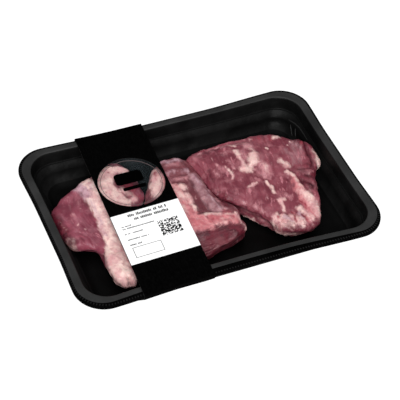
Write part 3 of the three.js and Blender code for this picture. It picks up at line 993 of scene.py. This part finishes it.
# For each cut, grain is the turn of its fibres, and they lie along X in front of face_y. The slice
# flattens it, as (point, direction that is taken away, low X, high X, share).
CUTS = {
    "meat_left": {
        "piece": "left_cut", "slot": "meat_pale", "grain": -0.35, "face_y": -90,
        "marks": LEFT_MARKS, "forms": LEFT_FORMS,
        "slice": ((-102, 10, 22.5), (-0.42, 0, 0.91), -130, -96, 0.5),
        "colours": ((138, 65, 81), (108, 40, 57), (162, 101, 113)),
    },
    "meat_middle": {
        "piece": "middle_cut", "slot": "meat_pink", "grain": 0.1, "face_y": -39,
        "marks": MIDDLE_MARKS, "forms": MIDDLE_FORMS,
        "slice": ((0, -41, 25.5), (0, -0.76, 0.65), -60, 20, 0.92),
        "colours": ((119, 60, 68), (96, 42, 51), (148, 95, 101)),
    },
    "meat_right": {
        "piece": "right_cut", "slot": "meat_dark", "grain": 0.3, "face_y": -90,
        "marks": RIGHT_MARKS, "forms": RIGHT_FORMS,
        "slice": ((60, -56, 25), (0.1, -0.8, 0.6), 36, 92, 0.6),
        "colours": ((134, 65, 77), (107, 40, 54), (164, 102, 110)),
    },
}

# The mesh's cell, the fade at a mark's edge, and the radius under which a form's bottom gets painted shade
VOXEL = 0.75
EDGE_WIDTH = 3
GROOVE_WIDTH = 3

# How far a cut's foot spreads and up to what height, how near another cut pulls, and how strongly
SPREAD = 3.5
SPREAD_HEIGHT = 9
SEAM_REACH = 6
SEAM_PULL = 0.55

# Clearances between the meat and the tray
WALL_GAP = 0.2
FLOOR_GAP = 0.1


def fine_copy(node, name, material):
    """The cut's CAD solid as a fine, even and smoothed mesh."""
    piece = new_object(name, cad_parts[node].data.copy())
    remesh = piece.modifiers.new("remesh", "REMESH")
    remesh.mode = "VOXEL"
    remesh.voxel_size = VOXEL * MM
    soften = piece.modifiers.new("soften", "SMOOTH")
    soften.factor = 0.5
    soften.iterations = 16
    apply_modifiers(piece)
    piece.data.materials.clear()
    piece.data.materials.append(material)
    piece.data.shade_smooth()
    return piece


def vectors_of(items, name):
    values = np.zeros(len(items) * 3)
    items.foreach_get(name, values)
    return values.reshape(-1, 3)


def surface_height(tree, x, y):
    """Height of the cut's top at a place, or 12 mm beside the cut."""
    hit = tree.ray_cast(Vector((x, y, 60)) * MM, -UP)[0]
    return 12.0 if hit is None else hit.z / MM


def path_distance(points, path, tree):
    """Distance from each point to a path of straight runs. Places without a height lie on the cut's top."""
    path = [p if len(p) == 3 else (*p, surface_height(tree, *p)) for p in path]
    if len(path) == 1:
        return np.linalg.norm(points - np.array(path[0]), axis=1)
    best = np.full(len(points), 1e9)
    for start, end in zip(path[:-1], path[1:]):
        start, run = np.array(start), np.array(end) - np.array(start)
        share = np.clip((points - start) @ run / (run @ run), 0, 1)
        best = np.minimum(best, np.linalg.norm(points - start - share[:, None] * run, axis=1))
    return best


def wobble(points, cell, shift, seed):
    """Noise in three directions."""
    return np.stack([lattice_noise(points / cell + shift * k, seed + k) for k in range(3)], axis=1)


def tissue_masks(points, marks, tree):
    """How much of each tissue, and of the painted shade of the dark marks, a point has, from 0 to 1."""
    moved = points + 0.9 * wobble(points, 4.2, 7, 20) + 0.4 * wobble(points, 1.7, 5, 30)
    masks = {tissue: np.zeros(len(points)) for tissue in TONES}
    for tissue, paths in marks.items():
        for radius, strength, *path in paths:
            far = path_distance(moved, path, tree) - radius
            near = np.clip(0.5 - far / (2 * min(radius, EDGE_WIDTH)), 0, 1)
            masks[tissue] = np.maximum(masks[tissue], strength * near)
    return masks


def formed(points, forms, tree):
    """How far the swellings and grooves move each point, in mm."""
    moved = points + 0.9 * wobble(points, 5, 3, 40)
    lift = np.zeros(len(points))
    for height, radius, *path in forms:
        far = path_distance(moved, path, tree) / radius
        lift += height * np.exp(-far * far)
    return lift


def sliced(points, place, away, low, high, share):
    """Points beyond a cutting plane come back to it."""
    away = np.array(away) / np.linalg.norm(away)
    beyond = np.clip((points - np.array(place)) @ away, 0, None)
    inside = smoothstep(low, low + 4, points[:, 0]) * (1 - smoothstep(high - 4, high, points[:, 0]))
    return points - (share * beyond * inside)[:, None] * away


def settled(points, normals):
    """The foot of a cut spreads a little, as soft meat does on a floor."""
    low = np.clip(1 - points[:, 2] / SPREAD_HEIGHT, 0, 1)
    points[:, :2] += SPREAD * low[:, None] * normals[:, :2]
    return points


def inside_tray(points):
    """Points beyond the tray's floor or walls come back to them."""
    inner = [place for place in tray_section() if place[2] < TRAY_TOP - 0.5]
    heights = [z for _, _, z in inner]
    for axis, half in enumerate((TRAY_LENGTH / 2, TRAY_WIDTH / 2)):
        reach = half - WALL_GAP - np.interp(points[:, 2], heights, [place[axis] for place in inner])
        points[:, axis] = np.clip(points[:, axis], -reach, reach)
    points[:, 2] = np.maximum(points[:, 2], TRAY_FLOOR + FLOOR_GAP)
    return points


def grain_frame(points, turn, face_y):
    """Coordinates along and across the meat's fibres, in metres."""
    bend = 0.25 * lattice_noise(points / 45, 3)
    angle = turn + bend + (math.pi / 2 - 0.15) * (1 - smoothstep(face_y - 3, face_y, points[:, 1]))
    along = points[:, 1] * np.cos(angle) + points[:, 0] * np.sin(angle)
    across = points[:, 0] * np.cos(angle) - points[:, 1] * np.sin(angle)
    return np.stack([across, along, points[:, 2]], axis=1) * MM


def relief(points, masks, grain):
    """How far each point stands out, in mm."""
    lumps = 0.8 * lattice_noise(points / 13, 5) + 0.45 * lattice_noise(points / 6, 6)
    fold_space = grain / MM * np.array([1 / 7, 1 / 26, 1 / 7])
    folds = -0.9 * np.clip(0.22 - np.abs(lattice_noise(fold_space, 7)), 0, 1) / 0.22
    stretched = grain / MM * np.array([1 / 2.4, 1 / 16, 1 / 2.4])
    soft = smoothstep(0.3, 0.7, np.maximum(masks["fat"], np.maximum(masks["pink"], masks["cream"])))
    lean = (1 - soft) * (1 - masks["silver"])
    ridges = (0.32 * lattice_noise(stretched, 8) + 0.6 * folds) * lean
    knobs = soft * (0.35 + 0.36 * lattice_noise(points / 3.6, 9) + 0.2 * lattice_noise(points / 1.9, 10))
    return lumps + ridges + knobs - 0.4 * masks["dark"]


def close_seams(points, normals, others):
    """Where two cuts lie next to each other, each comes half-way to the other."""
    moved = points.copy()
    for tree in others:
        for i, p in enumerate(points):
            if abs(normals[i][2]) > 0.85:
                continue
            near, _, _, far = tree.find_nearest(Vector(p) * MM, SEAM_REACH * MM)
            if near is None:
                continue
            toward = np.array(near) / MM - p
            pull = 1 - scalar_smooth(3.5, SEAM_REACH, far / MM)
            moved[i] += toward * SEAM_PULL * pull
    return moved


def make_cuts():
    trees = {}
    for node in CUTS:
        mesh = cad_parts[node].data
        corners = [v.co.copy() for v in mesh.vertices]
        trees[node] = BVHTree.FromPolygons(corners, [tuple(f.vertices) for f in mesh.polygons])
    for node, cut in CUTS.items():
        colours = [srgb(*colour) for colour in cut["colours"]]
        piece = fine_copy(node, cut["piece"], meat_material(cut["piece"] + "_beef", *colours))
        mesh = piece.data
        points, normals = vectors_of(mesh.vertices, "co") / MM, vectors_of(mesh.vertex_normals, "vector")
        others = [tree for name, tree in trees.items() if name != node]
        masks = tissue_masks(points, cut["marks"], trees[node])
        grain = grain_frame(points, cut["grain"], cut["face_y"])
        start = sliced(close_seams(points, normals, others), *cut["slice"])
        rise = relief(points, masks, grain)
        # Painted shade for the bottoms of narrow grooves and of low places in the relief
        grooves = [form for form in cut["forms"] if form[1] < GROOVE_WIDTH]
        masks["hollow_shade"] = 0.55 * smoothstep(0.5, 1.9, -rise - formed(points, grooves, trees[node]))
        rise += formed(points, cut["forms"], trees[node])
        points = inside_tray(settled(start + normals * rise[:, None], normals))
        mesh.vertices.foreach_set("co", (points * MM).ravel())
        mesh.update()
        for tissue, values in masks.items():
            layer = mesh.attributes.new(tissue, "FLOAT", "POINT")
            layer.data.foreach_set("value", values)
        layer = mesh.attributes.new("grain", "FLOAT_VECTOR", "POINT")
        layer.data.foreach_set("vector", grain.ravel())
        settle(piece, cut["slot"], node)


# Stage


def make_floor():
    """White paper that gives light of its own, so that no shadow shows."""
    material = dull("floor_paper", 3, 2, (0.3, 0.7), (grey(110), grey(120)), 0.9, 0.0)
    tree = material.node_tree
    feed(tree, tree.nodes["Principled BSDF"], {"Emission Color": (1, 1, 1, 1), "Emission Strength": 1.0})
    half = 2500
    corners = [(-half, -half, -0.1), (half, -half, -0.1), (half, half, -0.1), (-half, half, -0.1)]
    mesh_object("floor", corners, [(0, 1, 2, 3)], material)


def aim(thing, place, target, roll=0):
    """Puts a lamp or the camera at a place and turns it to a target, with a roll in degrees."""
    thing.location = place
    thing.rotation_mode = "QUATERNION"
    turn = Quaternion(UP, math.radians(roll))
    thing.rotation_quaternion = (target - place).to_track_quat("-Z", "Y") @ turn


def add_area(name, place, size, power):
    light = bpy.data.lights.new(name, "AREA")
    light.shape = "RECTANGLE"
    light.size, light.size_y = size
    light.energy = power
    aim(new_object(name, light), Vector(place), Vector((0, 0, 0)))


def make_light():
    world = bpy.data.worlds.new("studio")
    bpy.context.scene.world = world
    world.use_nodes = True
    tree = world.node_tree
    feed(tree, tree.nodes["Background"], {"Color": (1, 1, 1, 1), "Strength": 0.36})
    add_area("soft_top", (-0.2, -0.2, 1.5), (1.6, 1.4), 12)
    add_area("soft_front", (-0.45, -1.25, 0.95), (1.3, 0.8), 22)
    bpy.context.scene.view_settings.view_transform = "Standard"


def make_camera():
    data = bpy.data.cameras.new("camera")
    data.lens = CAMERA_LENS
    data.sensor_width = 36
    data.clip_start = 0.05
    data.clip_end = 20
    camera = new_object("camera", data)
    aim(camera, Vector(CAMERA_PLACE) * MM, Vector(CAMERA_TARGET) * MM, CAMERA_ROLL)
    bpy.context.scene.camera = camera


make_camera()
make_floor()
make_light()
make_tray()
make_sleeve()
make_label()
make_film()
make_cuts()
